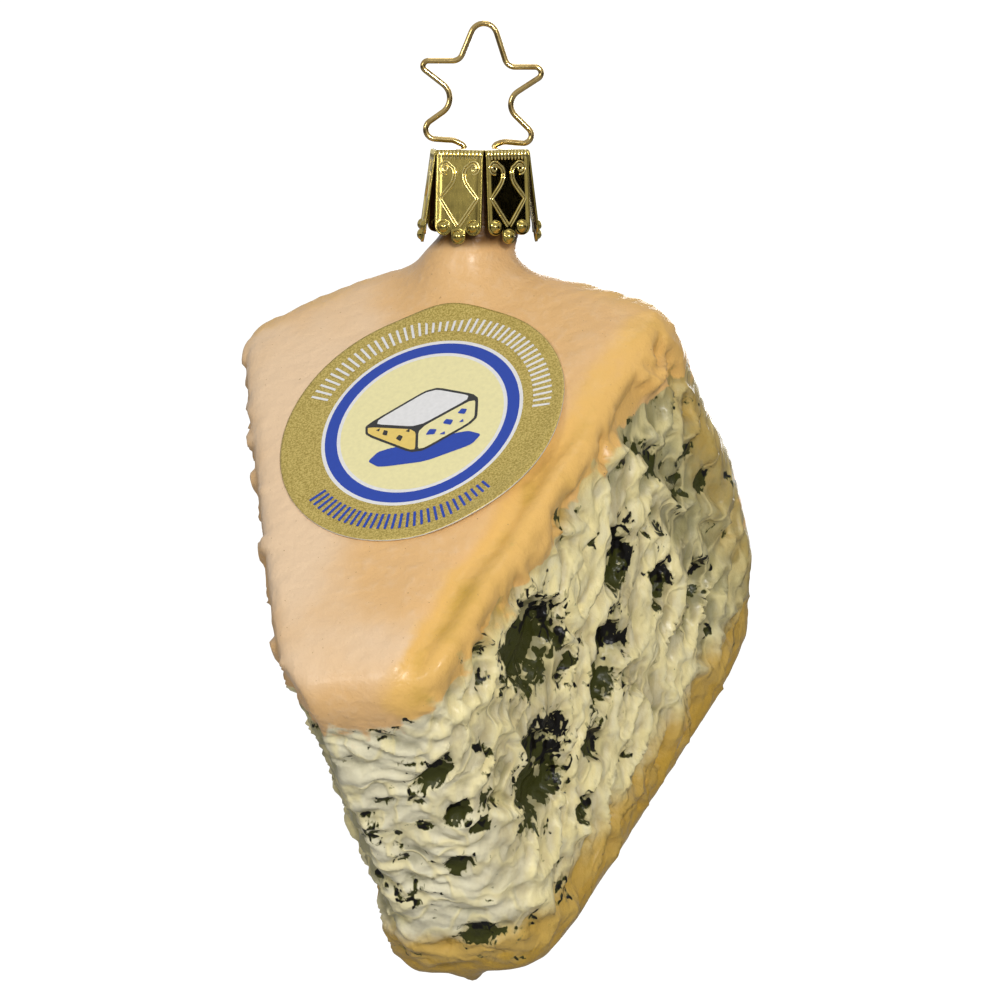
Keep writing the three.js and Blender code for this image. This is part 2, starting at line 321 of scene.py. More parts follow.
def curd_folds(at):
    """Thin upright folds on the cut faces, level wrinkles on the nose, and pits in both."""
    upright, lying = np.array([1, 1, 1.8]), np.array([3.2, 3.2, 1])
    folds = crests(at.bent, 5.0 * upright, 4, 0.26) ** 1.5
    fine_folds = crests(at.bent, 2.4 * upright, 5, 0.27) ** 1.4
    wrinkles = crests(at.bent, 2.7 * lying, 6, 0.3) ** 1.6
    fine_wrinkles = crests(at.bent, 1.3 * lying, 7, 0.35) ** 1.3
    crest = folds * (1 - at.nose_share) + 0.4 * wrinkles * at.nose_share
    fine = fine_folds * (1 - at.nose_share) + 0.5 * fine_wrinkles * at.nose_share
    pit = ramp(swirl(at.bent, (2.8, 2.8, 3.8), 27), 0.16, 0.36) * (1 - 0.7 * at.nose_share)
    return crest, fine, pit


def large_pockets(at):
    """Depth, mould and painted shade of the pockets in the right cut face and the nose."""
    cut_depth, cut_mould, cut_wall_shade = pocket_fields(at.plain, right_cut, cut_pockets)
    nose_depth, nose_mould, nose_wall_shade = pocket_fields(at.plain, to_nose, nose_pockets)
    sees_cut = ramp(at.right, 0.25, 0.6)
    sees_nose = ramp(at.nose, 0.2, 0.5)
    depth = cut_depth * sees_cut + nose_depth * sees_nose * (1 - sees_cut)
    mould = np.where(sees_cut > 0.5, cut_mould, np.where(sees_nose > 0.3, nose_mould, -1))
    dark = np.where(sees_cut > 0.5, cut_wall_shade, nose_wall_shade)
    return depth, mould, dark


def small_veins(at, crest, fine, pit):
    """Mould of the small broken veins in the hollows between the folds."""
    stretch = np.where(at.nose_share[:, None] > 0.5, [1.9, 1.9, 1], [1, 1, 1.3])
    speck = swirl(at.bent, 1.5 * stretch, 8) + 0.6 * swirl(at.bent, 0.95 * stretch, 21)
    vein = speck + 1.6 * swirl(at.plain, 5.0, 9) + 0.8 * pit - 0.6 * crest - 0.2 * fine
    vein += 0.08 * at.nose_share - 0.68
    return 1.3 * (vein + 0.16 * ramp(at.above_centre, 2, 22) * at.right)


def curd_relief(at, crest, fine, pit, depth, pocket_floor):
    """Height of the torn curd, with the large pockets cut into it."""
    hollows = np.minimum(swirl(at.bent, 3.4, 20), 0.1)
    curd = 1.6 * crest + 0.65 * fine * (1 - 0.5 * crest) + 1.3 * hollows - 0.95
    curd -= 1.1 * pit * (1 - crest)
    curd *= 1 - 0.85 * pocket_floor
    rim_width = 2.4 * at.right + 4.0 * at.left + 5.0 * at.nose
    torn = ramp(at.under_top, rim_width, rim_width + 2.5 + 3.0 * at.nose)
    torn *= ramp(at.above_base, 1.0, 5.0)
    curd *= ramp(at.cut, 0.45, 0.95) * (0.12 + 0.88 * torn)
    return curd - depth * ramp(at.under_top, 1.5, 4.0)


def ledge_along_ridge(at):
    """Share of the stepped ledge along the ridge, and of the step down beside it."""
    along = ramp(at.towards_nose, -16, -2) * at.clear_of_neck
    wander = at.from_ridge + 1.6 * swirl(at.plain, 7.0, 22)
    return along, ramp(wander, 6.5, 4.2) * ramp(wander, 1.0, 3.4)


def top_and_rind_relief(at, ledge, step_down):
    """The ledge, soft dents on the top face, a rough rind and base, a notched left edge."""
    lip = ramp(at.from_ridge, 3.4, 1.2) * ramp(at.under_top, 5.0, 2.0)
    height = ledge * (0.9 * lip - 1.0 * step_down * at.top)
    swell = 1.3 * swirl(at.plain, 8.0, 13) * ramp(at.from_ridge, 14, 4)
    swell += 0.5 * swirl(at.plain, 13.0, 14)
    grain = swirl(at.plain, (1.9, 1.9, 1.2), 23)
    height += at.top * at.clear_of_neck * (0.8 * swell + 0.14 * grain)
    rough = swirl(at.plain, (3.0, 3.0, 1.6), 15) + 0.6 * swirl(at.plain, 1.2, 16)
    height += at.rind * at.clear_of_neck * 0.55 * rough
    height += at.base * (0.25 * rough + 0.4 * swirl(at.plain, 5.0, 9))
    notches = ramp(swirl(at.plain, (5.0, 5.0, 3.4), 24), 0.12, 0.3)
    return height + 1.1 * notches * at.left * ramp(at.under_top, 7.0, 2.0)


def edge_relief(at):
    """Where the mould's edges stand in or out of the plain wedge, and the cooled drip."""
    left_nose_edge = 1.1 * ramp(at.left * at.nose * 4, 0.0, 0.6) + 0.8 * at.left
    height = -left_nose_edge * ramp(at.z, -68, -80) * ramp(at.z, -112, -98)
    height -= 1.0 * at.top * at.nose
    right_rind_edge = 1.2 * ramp(at.right * at.rind * 4, 0.0, 0.6)
    height += right_rind_edge * ramp(at.z, -44, -52) * ramp(at.z, -71, -63)
    from_drip = np.hypot(at.plain[:, 0] - drip_place[0], at.plain[:, 1] - drip_place[1])
    drip = 1.0 * ramp(from_drip, 3.6, 0.6) + 0.9 * ramp(from_drip, 1.6, 0.2)
    return height + ramp(at.z, -100, -108) * drip


def cream_coat(at):
    """Where the cream paint of the cut faces covers the peach lacquer, with a torn border."""
    torn = swirl(at.bent, (2.6, 2.6, 4.2), 17) + 0.6 * swirl(at.plain, 1.3, 18)
    start = 3.6 * at.right + 7.0 * at.left + 5.5 * at.nose + 5.0 * ramp(at.z, -50, -38)
    cream = ramp(at.under_top + 3.2 * torn, start, start + 3.0 + 4.0 * at.nose)
    cream *= ramp(at.above_base + 4.0 * torn, 2.0, 9.0)
    return cream * ramp(at.cut + 0.4 * torn, 0.25, 0.6)


def ochre_coat(at, ledge, step_down):
    """Ochre sprayed along the ridge, round the base and over the rind; more in the step down beside
    the ledge, on the underside and at the far right as painted shade.
    """
    near_ridge = ramp(at.from_ridge + 2.5 * swirl(at.plain, 6.0, 25), 9, 2)
    near_ridge *= ramp(at.under_top, 9, 4) * (0.85 + 0.45 * swirl(at.plain, (3.0, 3.0, 5.0), 29))
    # The step down beside the ledge, the underside and the far right of the cut face get more ochre
    # as painted shade.
    ochre = np.maximum.reduce([
        near_ridge + 0.35 * ledge * step_down,
        1.5 * ramp(at.above_base, 15.0, 5.0) + 0.6 * at.base,
        1.2 * at.rind,
        1.3 * at.right * ramp(at.towards_rind, 24, 42)])
    return np.clip(ochre * at.clear_of_neck + 0.25 * swirl(at.plain, 7.0, 19), 0, 2.1)


def pale_coat(at):
    """Paler peach on the top face, away from the ridge and the neck."""
    pale = at.top * (ramp(at.from_ridge, 12, 30) + 0.5 * swirl(at.plain, 9.0, 26))
    pale *= ramp(at.from_neck, 4, 24)
    return np.clip(pale + 0.9 * at.top * ramp(at.towards_nose, 14, 28), 0, 1)


def glass_fields(points):
    """Height of the moulded relief and the coats of paint at points of the plain surface."""
    at = wedge_places(points)
    crest, fine, pit = curd_folds(at)
    depth, mould, dark = large_pockets(at)
    pocket_floor = np.clip(depth / 1.4, 0, 1)
    ledge, step_down = ledge_along_ridge(at)
    height = curd_relief(at, crest, fine, pit, depth, pocket_floor)
    height += top_and_rind_relief(at, ledge, step_down)
    height = height * np.maximum(at.clear_of_neck, 0.05) + edge_relief(at)

    cream = cream_coat(at)
    mould = np.maximum(mould, small_veins(at, crest, fine, pit))
    # Painted shade: darker in the hollows of the relief, partly a real olive wash, and towards the
    # far right of the cut face.
    wash_and_shade = np.clip(-height / 2.2, 0, 1) + 1.0 * at.right * ramp(at.towards_rind, 16, 42)
    return {
        "height": height, "cream": cream, "ochre": ochre_coat(at, ledge, step_down),
        "mould": np.where(cream > 0.3, mould, mould - 1.8), "dark": dark,
        "pale": pale_coat(at), "chalk": at.nose_share * at.cut,
        "crest": np.clip(crest + 0.5 * fine - pocket_floor, 0, 1), "olive_wash_and_shade": wash_and_shade,
    }


def mesh_from(name, points, polygons, edges=()):
    """A mesh object in metres from points in millimetres."""
    mesh = bpy.data.meshes.new(name)
    mesh.from_pydata((np.asarray(points) * MM).tolist(), edges, polygons)
    mesh.update()
    made = bpy.data.objects.new(name, mesh)
    bpy.context.collection.objects.link(made)
    return made


def points_of(piece):
    """The vertices of a piece in millimetres."""
    flat = np.empty(len(piece.data.vertices) * 3)
    piece.data.vertices.foreach_get("co", flat)
    return flat.reshape(-1, 3) / MM


def set_points(piece, points):
    """Moves the vertices of a piece to points in millimetres."""
    piece.data.vertices.foreach_set("co", (points * MM).ravel())
    piece.data.update()


def keep_result(piece):
    """Makes what the modifiers show the piece's plain mesh, and takes the modifiers off."""
    graph = bpy.context.evaluated_depsgraph_get()
    result = bpy.data.meshes.new_from_object(piece.evaluated_get(graph))
    piece.modifiers.clear()
    piece.data = result


def apply_modifier(piece, kind, **settings):
    """Puts one modifier on a piece and keeps its result."""
    modifier = piece.modifiers.new(kind.lower(), kind)
    for setting, value in settings.items():
        setattr(modifier, setting, value)
    keep_result(piece)


def cut_away(piece, cutter):
    """Cuts a piece with another, which is used up."""
    apply_modifier(piece, "BOOLEAN", operation="DIFFERENCE", object=cutter, solver="MANIFOLD")
    bpy.data.objects.remove(cutter)


def ball(name, subdivisions):
    """An icosphere of unit radius as a piece, with its directions."""
    shape = bmesh.new()
    bmesh.ops.create_icosphere(shape, subdivisions=subdivisions, radius=1 * MM)
    made = mesh_from(name, [(0, 0, 0)], [])
    shape.to_mesh(made.data)
    shape.free()
    directions = points_of(made)
    return made, directions / np.linalg.norm(directions, axis=1, keepdims=True)


def rod(name, radius, bottom, top, segments, middle=0):
    """A closed upright rod, to join to a piece or to cut from it; middle is its place in x."""
    points = [(middle, 0, bottom), (middle, 0, top)]
    for height in (bottom, top):
        for index in range(segments):
            angle = 2 * math.pi * index / segments
            points.append((middle + radius * math.cos(angle), radius * math.sin(angle), height))
    low, high = 2, 2 + segments
    polygons = []
    for index in range(segments):
        after = (index + 1) % segments
        polygons.append((0, low + after, low + index))
        polygons.append((1, high + index, high + after))
        polygons.append((low + index, low + after, high + after, high + index))
    return mesh_from(name, points, polygons)


def add_to(piece, other):
    """Puts the mesh of another piece into a piece, loose beside its own."""
    shape = bmesh.new()
    shape.from_mesh(piece.data)
    shape.from_mesh(other.data)
    shape.to_mesh(piece.data)
    shape.free()
    bpy.data.objects.remove(other)


glass, rays = ball("glass", 6)
set_points(glass, throw_out(rays))
add_to(glass, rod("neck", neck_radius, neck_root, neck_top, 48))
apply_modifier(glass, "REMESH", mode="VOXEL", voxel_size=skin_step * MM, use_smooth_shade=True)
plain = settle(points_of(glass))
normals, _ = slope(plain)
set_points(glass, plain + normals * glass_fields(plain)["height"][:, None])

# The hollow inside follows the hollows of the relief, so that the wall is never cut through.
core, rays = ball("core", 5)
core_points = settle(throw_out(rays, wall), wall, 2)
core_normals, _ = slope(core_points, wall)
core_relief = np.minimum(glass_fields(settle(core_points))["height"], 0) - wall_spare
set_points(core, core_points + core_normals * core_relief[:, None])
cut_away(glass, core)
cut_away(glass, rod("bore", bore_radius, neck_root, neck_top + 1, 32))
glass.data.shade_smooth()
fields = glass_fields(settle(points_of(glass)))
for name in ("cream", "ochre", "mould", "dark", "pale", "chalk", "crest", "olive_wash_and_shade"):
    coat = glass.data.attributes.new(name, "FLOAT", "POINT")
    coat.data.foreach_set("value", fields[name].astype(np.float32))


class Nodes:
    """A tree of nodes, to which each is added with its links, values and settings."""

    prefix = ""

    def add(self, kind, links=None, values=None, **settings):
        """A new node: links go to sockets by name, values stand on sockets of their own."""
        made = self.tree.nodes.new(self.prefix + kind)
        for setting, value in settings.items():
            setattr(made, setting, value)
        for socket, value in (values or {}).items():
            made.inputs[socket].default_value = value
        for socket, output in (links or {}).items():
            self.tree.links.new(output, made.inputs[socket])
        return made


class Coating(Nodes):
    """Builds one material's node tree, a node at a time."""

    prefix = "ShaderNode"

    def __init__(self, name):
        self.material = bpy.data.materials.new(name)
        self.material.use_nodes = True
        self.tree = self.material.node_tree
        self.shader = self.tree.nodes["Principled BSDF"]

    def place(self, stretch=(1, 1, 1)):
        """Object coordinates in millimetres, squeezed along each axis by stretch."""
        where = self.add("TexCoord")
        scale = tuple(1 / (MM * part) for part in stretch)
        sized = self.add("Mapping", {"Vector": where.outputs["Object"]}, {"Scale": scale})
        return sized.outputs["Vector"]

    def noise(self, place, size, detail=3.0, rough=0.5, twist=0.0):
        """Noise from 0 to 1 with blotches as wide as size in millimetres."""
        made = self.add("TexNoise", {"Vector": place},
                        {"Scale": 1 / size, "Detail": detail, "Roughness": rough,
                         "Distortion": twist})
        return made.outputs["Fac"]

    def attribute(self, name):
        """A coat that the piece's points carry."""
        return self.add("Attribute", attribute_name=name).outputs["Fac"]

    def math(self, operation, first, second=None, third=None):
        """Arithmetic on two or three values, each a socket or a number."""
        made = self.add("Math", operation=operation)
        for socket, value in enumerate((first, second, third)):
            if isinstance(value, bpy.types.NodeSocket):
                self.tree.links.new(value, made.inputs[socket])
            elif value is not None:
                made.inputs[socket].default_value = value
        return made.outputs[0]

    def ramp(self, value, low, high):
        """Smooth step of a value from 0 at low to 1 at high."""
        made = self.add("MapRange", {"Value": value}, {"From Min": low, "From Max": high},
                        interpolation_type="SMOOTHSTEP")
        return made.outputs["Result"]

    def between(self, value, low, high):
        """A value from 0 to 1 turned to one from low to high."""
        made = self.add("MapRange", {"Value": value}, {"To Min": low, "To Max": high})
        return made.outputs["Result"]

    def part(self, value, low, high, share):
        """Smooth step of a value from 0 at low to share at high."""
        return self.math("MULTIPLY", self.ramp(value, low, high), share)

    def roughen(self, value, grain, swing):
        """A value raised and lowered by half of swing where the grain is high and low."""
        return self.math("ADD", value, self.math("MULTIPLY_ADD", grain, swing, -swing / 2))

    def mix(self, share, first, second):
        """Blend of two colours, each a socket or red, green and blue."""
        made = self.add("Mix", data_type="RGBA")
        for socket, value in (("A", first), ("B", second)):
            inlet = next(i for i in made.inputs if i.name == socket and i.type == "RGBA")
            if isinstance(value, bpy.types.NodeSocket):
                self.tree.links.new(value, inlet)
            else:
                inlet.default_value = (*value, 1)
        if isinstance(share, bpy.types.NodeSocket):
            self.tree.links.new(share, made.inputs["Factor"])
        else:
            made.inputs["Factor"].default_value = share
        return next(o for o in made.outputs if o.type == "RGBA")

    def bump(self, height, strength, depth, under=None):
        """Bump of the given depth in millimetres; under is an earlier bump to stand on."""
        made = self.add("Bump", {"Height": height},
                        {"Strength": strength, "Distance": depth * MM})
        if under:
            self.tree.links.new(under, made.inputs["Normal"])
        return made.outputs["Normal"]

    def finish(self, links, **values):
        """Links and sets the shader's own sockets and hands over the material."""
        for socket, output in links.items():
            self.tree.links.new(output, self.shader.inputs[socket])
        for socket, value in values.items():
            self.shader.inputs[socket.replace("_", " ")].default_value = value
        return self.material


# The deep ochre lies over both the lacquer and the curd. The thin dark glaze lies round the mould
# and in the hollows of the curd, where it is partly painted shade. The neck turns brown between two
# heights: its own unpainted glass, and painted shade under the cap.
deep_ochre, glaze_and_shade = (0.54, 0.33, 0.05), (0.17, 0.16, 0.055)
neck_glass_and_shade = (-27.0, -25.4)


def peach_lacquer(paint, place, fine, speck, ochre):
    """Mottled peach lacquer, sprayed over with three depths of ochre, with brown specks; the
    darkest ochre is partly painted shade on the underside.
    """
    peach, pale_peach = (0.75, 0.46, 0.20), (0.80, 0.58, 0.37)
    light_ochre, underside_shade_ochre = (0.78, 0.47, 0.14), (0.36, 0.21, 0.025)
    speck_brown = (0.35, 0.2, 0.08)
    mottled = paint.roughen(paint.attribute("pale"), paint.noise(place, 9, 3), 0.8)
    skin = paint.mix(paint.ramp(mottled, 0.1, 0.9), peach, pale_peach)
    skin = paint.mix(paint.part(fine, 0.45, 0.75, 0.3), skin, pale_peach)
    skin = paint.mix(paint.ramp(ochre, 0.2, 0.8), skin, light_ochre)
    skin = paint.mix(paint.ramp(ochre, 0.8, 1.6), skin, deep_ochre)
    # Painted shade: the darkest ochre, mostly on the underside.
    skin = paint.mix(paint.ramp(ochre, 1.6, 2.2), skin, underside_shade_ochre)
    return paint.mix(paint.ramp(speck, 0.72, 0.78), skin, speck_brown)


def curd_paint(paint, fine, ochre, strand):
    """Cream curd: buttery on the folds, partly a painted highlight on the crests, chalky on the
    nose, and darker in the hollows, partly painted shade.
    """
    curd, white_curd, butter = (0.60, 0.50, 0.26), (0.84, 0.79, 0.58), (0.88, 0.76, 0.38)
    streaks = paint.noise(paint.place((1, 1, 3.0)), 1.1, 3)
    # Butter on the fold crests, darker curd between: partly the curd's own colour, partly a painted
    # highlight.
    body = paint.mix(paint.ramp(paint.attribute("crest"), 0.25, 0.9), curd, butter)
    body = paint.mix(paint.part(streaks, 0.35, 0.7, 0.45), body, white_curd)
    body = paint.mix(paint.math("MULTIPLY", paint.attribute("chalk"), 0.75), body, white_curd)
    # Olive in the hollows and at the far right: partly a real wash, partly painted shade.
    deep = paint.roughen(paint.attribute("olive_wash_and_shade"), fine, 0.4)
    body = paint.mix(paint.part(deep, 0.2, 0.72, 0.68), body, glaze_and_shade)
    body = paint.mix(paint.math("MULTIPLY", strand, 0.55), body, butter)
    return paint.mix(paint.part(ochre, 0.3, 1.2, 0.9), body, deep_ochre)


def painted_glass():
    """Peach and ochre lacquer, cream curd on the cut faces, and olive mould in the veins."""
    olive, black, brown = (0.042, 0.044, 0.007), (0.005, 0.004, 0.003), (0.13, 0.06, 0.015)
    paint = Coating("painted_glass")
    place = paint.place()
    fine = paint.noise(place, 1.6, 4, 0.6)
    speck = paint.noise(place, 0.35, 2)
    cream = paint.attribute("cream")
    ochre = paint.roughen(paint.attribute("ochre"), fine, 0.5)
    strands = paint.noise(paint.place((1, 1, 1.8)), 3.6, 1, 0.4, 0.5)
    off_strand = paint.math("ABSOLUTE", paint.math("SUBTRACT", strands, 0.5))
    strand = paint.math("MULTIPLY", paint.ramp(off_strand, 0.09, 0.0), cream)
    skin = peach_lacquer(paint, place, fine, speck, ochre)
    body = curd_paint(paint, fine, ochre, strand)
    coat = paint.mix(paint.ramp(paint.roughen(cream, fine, 0.9), 0.3, 0.65), skin, body)

    # Mould: a thin veil of glaze, then olive with ragged borders, and black under the walls as
    # painted shade.
    upright = paint.place((1, 1, 1.5))
    flakes = paint.noise(upright, 1.6, 1.0, 0.4, 1.6)
    crumbs = paint.noise(upright, 0.7, 1.0, 0.4, 0.8)
    mould = paint.roughen(paint.roughen(paint.attribute("mould"), flakes, 2.0), crumbs, 1.0)
    coat = paint.mix(paint.part(mould, -0.16, -0.06, 0.55), coat, glaze_and_shade)
    covered = paint.ramp(mould, 0.0, 0.05)
    coat = paint.mix(covered, coat, olive)
    # Painted shade: the mould turns black under the upper walls of the pockets.
    darker = paint.ramp(paint.roughen(paint.attribute("dark"), flakes, 1.4), 0.40, 0.52)
    coat = paint.mix(paint.math("MULTIPLY", darker, covered), coat, black)
    height = paint.add("SeparateXYZ", {"Vector": place}).outputs["Z"]
    # Brown on the neck: its own unpainted glass, and painted shade under the cap.
    coat = paint.mix(paint.ramp(height, *neck_glass_and_shade), coat, brown)

    lacquer = paint.math("MULTIPLY", paint.math("SUBTRACT", 1.0, covered), 0.12)
    grain = paint.bump(speck, 0.2, 0.04)
    grain = paint.bump(fine, 0.6, 0.4, grain)
    grain = paint.bump(strand, 0.35, 0.5, grain)
    edge = paint.bump(paint.ramp(mould, -0.08, 0.06), -0.8, 0.22, grain)
    return paint.finish(
        {"Base Color": coat, "Roughness": paint.between(fine, 0.22, 0.46), "Normal": edge,
         "Coat Weight": lacquer},
        Coat_Roughness=0.2, Specular_IOR_Level=0.2)


glass.name = "painted_glass_body"
glass.data.materials.clear()
glass.data.materials.append(painted_glass())
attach(glass, "root")
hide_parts("glass_body")

# ---- Star hanger ------------------------------------------------------------------------------
# One length of gold-plated spring wire, bent to a star over a jig. Its two tails go down
# through the holes of the cap and spread inside the neck, which is all that holds the cap on.
wire_radius = 0.35
leg_left, leg_right = -1.87, 1.68
# Corners of the wire's centreline in the plane of the star, each with its bend radius.
wire_corners = [
    (-4.6, -34.0, 0), (-2.6, -28.5, 3), (-2.7, -20.0, 3), (leg_left, -16.5, 2),
    (leg_left, -14.35, 0.6), (-3.1, -13.75, 1.6), (-8.7, -13.35, 1.17), (-2.2, -8.75, 2.1),
    (-8.05, -4.2, 0.63), (-2.45, -4.2, 1.2), (0.65, 3.35, 1.6), (3.3, -4.95, 1.26),
    (9.1, -4.95, 0.73), (2.6, -9.15, 1.87), (7.85, -14.35, 1), (2.8, -13.9, 1.6),
    (leg_right, -14.35, 0.6), (leg_right, -16.5, 2), (2.7, -20.0, 3), (2.3, -28.5, 3),
    (3.8, -34.0, 0)]


def bend_points(before, corner, after, radius, steps):
    """Points of the arc that rounds the corner between two straight runs."""
    back = (before - corner) / np.linalg.norm(before - corner)
    ahead = (after - corner) / np.linalg.norm(after - corner)
    half = math.acos(back @ ahead) / 2
    centre = corner + (back + ahead) / np.linalg.norm(back + ahead) * radius / math.sin(half)
    start = corner + back * radius / math.tan(half) - centre
    end = corner + ahead * radius / math.tan(half) - centre
    turn = math.pi - 2 * half
    return [centre + (start * math.sin((1 - share) * turn) + end * math.sin(share * turn))
            / math.sin(turn) for share in np.linspace(0, 1, steps)]


def wire_route():
    """The wire's centreline: straight runs joined by arcs."""
    corners = [np.array([x, 0, z]) for x, z, _ in wire_corners]
    route = [corners[0]]
    for index in range(1, len(corners) - 1):
        route += bend_points(*corners[index - 1:index + 2], wire_corners[index][2], 12)
    return route + [corners[-1]]


class Growth(Nodes):
    """Builds one Geometry Nodes tree whose sizes are named inputs in metres."""

    def __init__(self, name, sizes):
        self.tree = bpy.data.node_groups.new(name, "GeometryNodeTree")
        face = self.tree.interface
        face.new_socket("Geometry", in_out="INPUT", socket_type="NodeSocketGeometry")
        for size, value in sizes.items():
            kind = "NodeSocketInt" if isinstance(value, int) else "NodeSocketFloat"
            face.new_socket(size, in_out="INPUT", socket_type=kind)
        face.new_socket("Geometry", in_out="OUTPUT", socket_type="NodeSocketGeometry")
        self.sizes = sizes
        self.inlet = self.tree.nodes.new("NodeGroupInput")
        self.outlet = self.tree.nodes.new("NodeGroupOutput")

    def size(self, name):
        """One of the tree's named inputs."""
        return self.inlet.outputs[name]

    def end(self, geometry, material):
        """Every tree ends in real geometry with its own material."""
        real = self.add("GeometryNodeRealizeInstances", {"Geometry": geometry})
        painted = self.add("GeometryNodeSetMaterial", {"Geometry": real.outputs["Geometry"]},
                           {"Material": material})
        self.tree.links.new(painted.outputs["Geometry"], self.outlet.inputs["Geometry"])

    def run(self, piece):
        """Grows the tree on a piece and keeps the result as its plain mesh."""
        modifier = piece.modifiers.new(self.tree.name, "NODES")
        modifier.node_group = self.tree
        for item in self.tree.interface.items_tree:
            if item.in_out == "INPUT" and item.name in self.sizes:
                modifier[item.identifier] = self.sizes[item.name]
        keep_result(piece)
        return piece


def swept_round(name, radius, sides, step, material):
    """A tree that turns a piece's lines of edges into a closed round bar."""
    tree = Growth(name, {"radius": radius * MM, "sides": sides, "step": step * MM})
    line = tree.add("GeometryNodeMeshToCurve", {"Mesh": tree.size("Geometry")})
    even = tree.add("GeometryNodeResampleCurve",
                    {"Curve": line.outputs["Curve"], "Length": tree.size("step")}, mode="LENGTH")
    ring = tree.add("GeometryNodeCurvePrimitiveCircle",
                    {"Resolution": tree.size("sides"), "Radius": tree.size("radius")})
    bar = tree.add("GeometryNodeCurveToMesh",
                   {"Curve": even.outputs["Curve"], "Profile Curve": ring.outputs["Curve"]},
                   {"Fill Caps": True})
    tree.end(bar.outputs["Mesh"], material)
    return tree


def chained(count, first=0):
    """Edges that join count points in a row, the first of them numbered first."""
    return [(first + index, first + index + 1) for index in range(count - 1)]


def plated_brass(name, colour, tarnish, roughness):
    """Gold-coloured plate over brass: bright, a little darker and duller in blotches."""
    plate = Coating(name)
    place = plate.place()
    blotch = plate.noise(place, 1.8, 4, 0.6)
    scuff = plate.noise(plate.place((1, 1, 5)), 0.25, 3)
    tint = plate.mix(plate.ramp(blotch, 0.45, 0.75), colour, tarnish)
    dull = plate.between(scuff, roughness * 0.6, roughness * 1.5)
    return plate.finish(
        {"Base Color": tint, "Roughness": dull, "Normal": plate.bump(scuff, 0.12, 0.03)},
        Metallic=1.0)


wire_brass = plated_brass("wire_brass", (0.55, 0.40, 0.16), (0.34, 0.22, 0.07), 0.13)
bent_wire = swept_round("bent_wire", wire_radius, 20, 0.12, wire_brass)
route = wire_route()
star = bent_wire.run(mesh_from("star_wire", route, [], chained(len(route))))
star.data.shade_smooth()
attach(star, "root")
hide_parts("star_hanger")

# ---- Crown cap --------------------------------------------------------------------------------
# Pressed from thin gold-plated sheet: a six-sided plate and six tabs turned down over the
# neck, each stamped with a milled edge, a pair of scrolls and three round beads.
cap_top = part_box("crown_cap")[1][2] / MM
cap_side, cap_corner = 6.5, math.radians(-85)
apothem = cap_side * math.cos(math.radians(30))
half_side = math.tan(math.radians(30))
sheet, fold_radius, plate_dome, wire_hole = 0.3, 0.45, 0.12, 0.7
tab_half = 3.05
tab_flares = np.radians([3, 7, 6, 7, 8, 3.5])
side_bead, middle_bead = (1.93, 9.45), (0.0, 10.6)
side_bead_radius, middle_bead_radius = 0.68, 0.72
side_lobe, middle_lobe = 1.05, 0.95
bead_fullness, side_rim = 0.85, 0.12
tab_columns = 44
tab_rows = 88


def stamped_height(x, y):
    """How far the die pushes the sheet out: three round beads, and a rim along each side."""
    height = np.zeros_like(y)
    for (bead_x, bead_y), radius in ((side_bead, side_bead_radius),
                                     (middle_bead, middle_bead_radius)):
        off = np.hypot(np.abs(x) - bead_x, y - bead_y) / radius
        bead = bead_fullness * radius * np.sqrt(np.clip(1 - off ** 2, 0, 1))
        height = np.maximum(height, bead)
    return height + side_rim * ramp(np.abs(x), 0.75 * tab_half, tab_half)


def tab_bottom(x):
    """The lobed lower edge of a tab, as a depth below the fold."""
    side = np.clip(side_lobe ** 2 - (np.abs(x) - side_bead[0]) ** 2, 0, None)
    middle = middle_lobe ** 2 - x ** 2
    lower = side_bead[1] + np.sqrt(side)
    tip = middle_bead[1] + np.sqrt(np.clip(middle, 0, None))
    return np.maximum(lower, np.where(middle > 0, tip, 0))


def cap_rows(flare):
    """Rows of one side of the cap, from the plate's middle over the fold and down the tab.

    Each row holds how far its points lie across, out from the middle and up from the plate.
    """
    plate_rows, fold_rows = 8, 5
    flat_end = apothem - fold_radius
    turn = math.radians(90) - flare
    arc = fold_radius * turn
    spread = np.linspace(-1, 1, tab_columns + 1)
    for share in np.linspace(0.02, 1, plate_rows):
        out = flat_end * share
        yield spread * out * half_side, out, plate_dome * (1 - share ** 2)
    for share in np.linspace(0, 1, fold_rows + 1)[1:]:
        across = spread * (flat_end * half_side * (1 - share) + tab_half * share)
        yield (across, flat_end + fold_radius * math.sin(turn * share),
               -fold_radius * (1 - math.cos(turn * share)))
    fold_out = flat_end + fold_radius * math.sin(turn)
    fold_up = -fold_radius * (1 - math.cos(turn))
    across = spread * tab_half
    for share in np.linspace(0, 1, tab_rows + 1)[1:]:
        down = (tab_bottom(across) - arc) * share
        lift = stamped_height(across, arc + down)
        yield (across, fold_out + down * math.sin(flare) + lift * math.cos(flare),
               fold_up - down * math.cos(flare) + lift * math.sin(flare))


def cap_sector(outward, flare):
    """One side of the cap as a sheet without thickness: plate, fold and tab."""
    outward_axis = np.array([math.cos(outward), math.sin(outward), 0])
    across_axis = np.array([-math.sin(outward), math.cos(outward), 0])
    points = []
    rows = list(cap_rows(flare))
    for across, out, up in rows:
        spots = np.outer(np.full_like(across, out), outward_axis)
        spots += np.outer(across, across_axis)
        spots[:, 2] += cap_top - plate_dome + up
        points += list(spots)
    wide = tab_columns + 1
    polygons = [(row * wide + column, (row + 1) * wide + column,
                 (row + 1) * wide + column + 1, row * wide + column + 1)
                for row in range(len(rows) - 1) for column in range(tab_columns)]
    return points, polygons


def sides():
    """Direction and flare of each of the cap's six sides."""
    return [(cap_corner + math.radians(30 + 60 * side), flare)
            for side, flare in enumerate(tab_flares)]


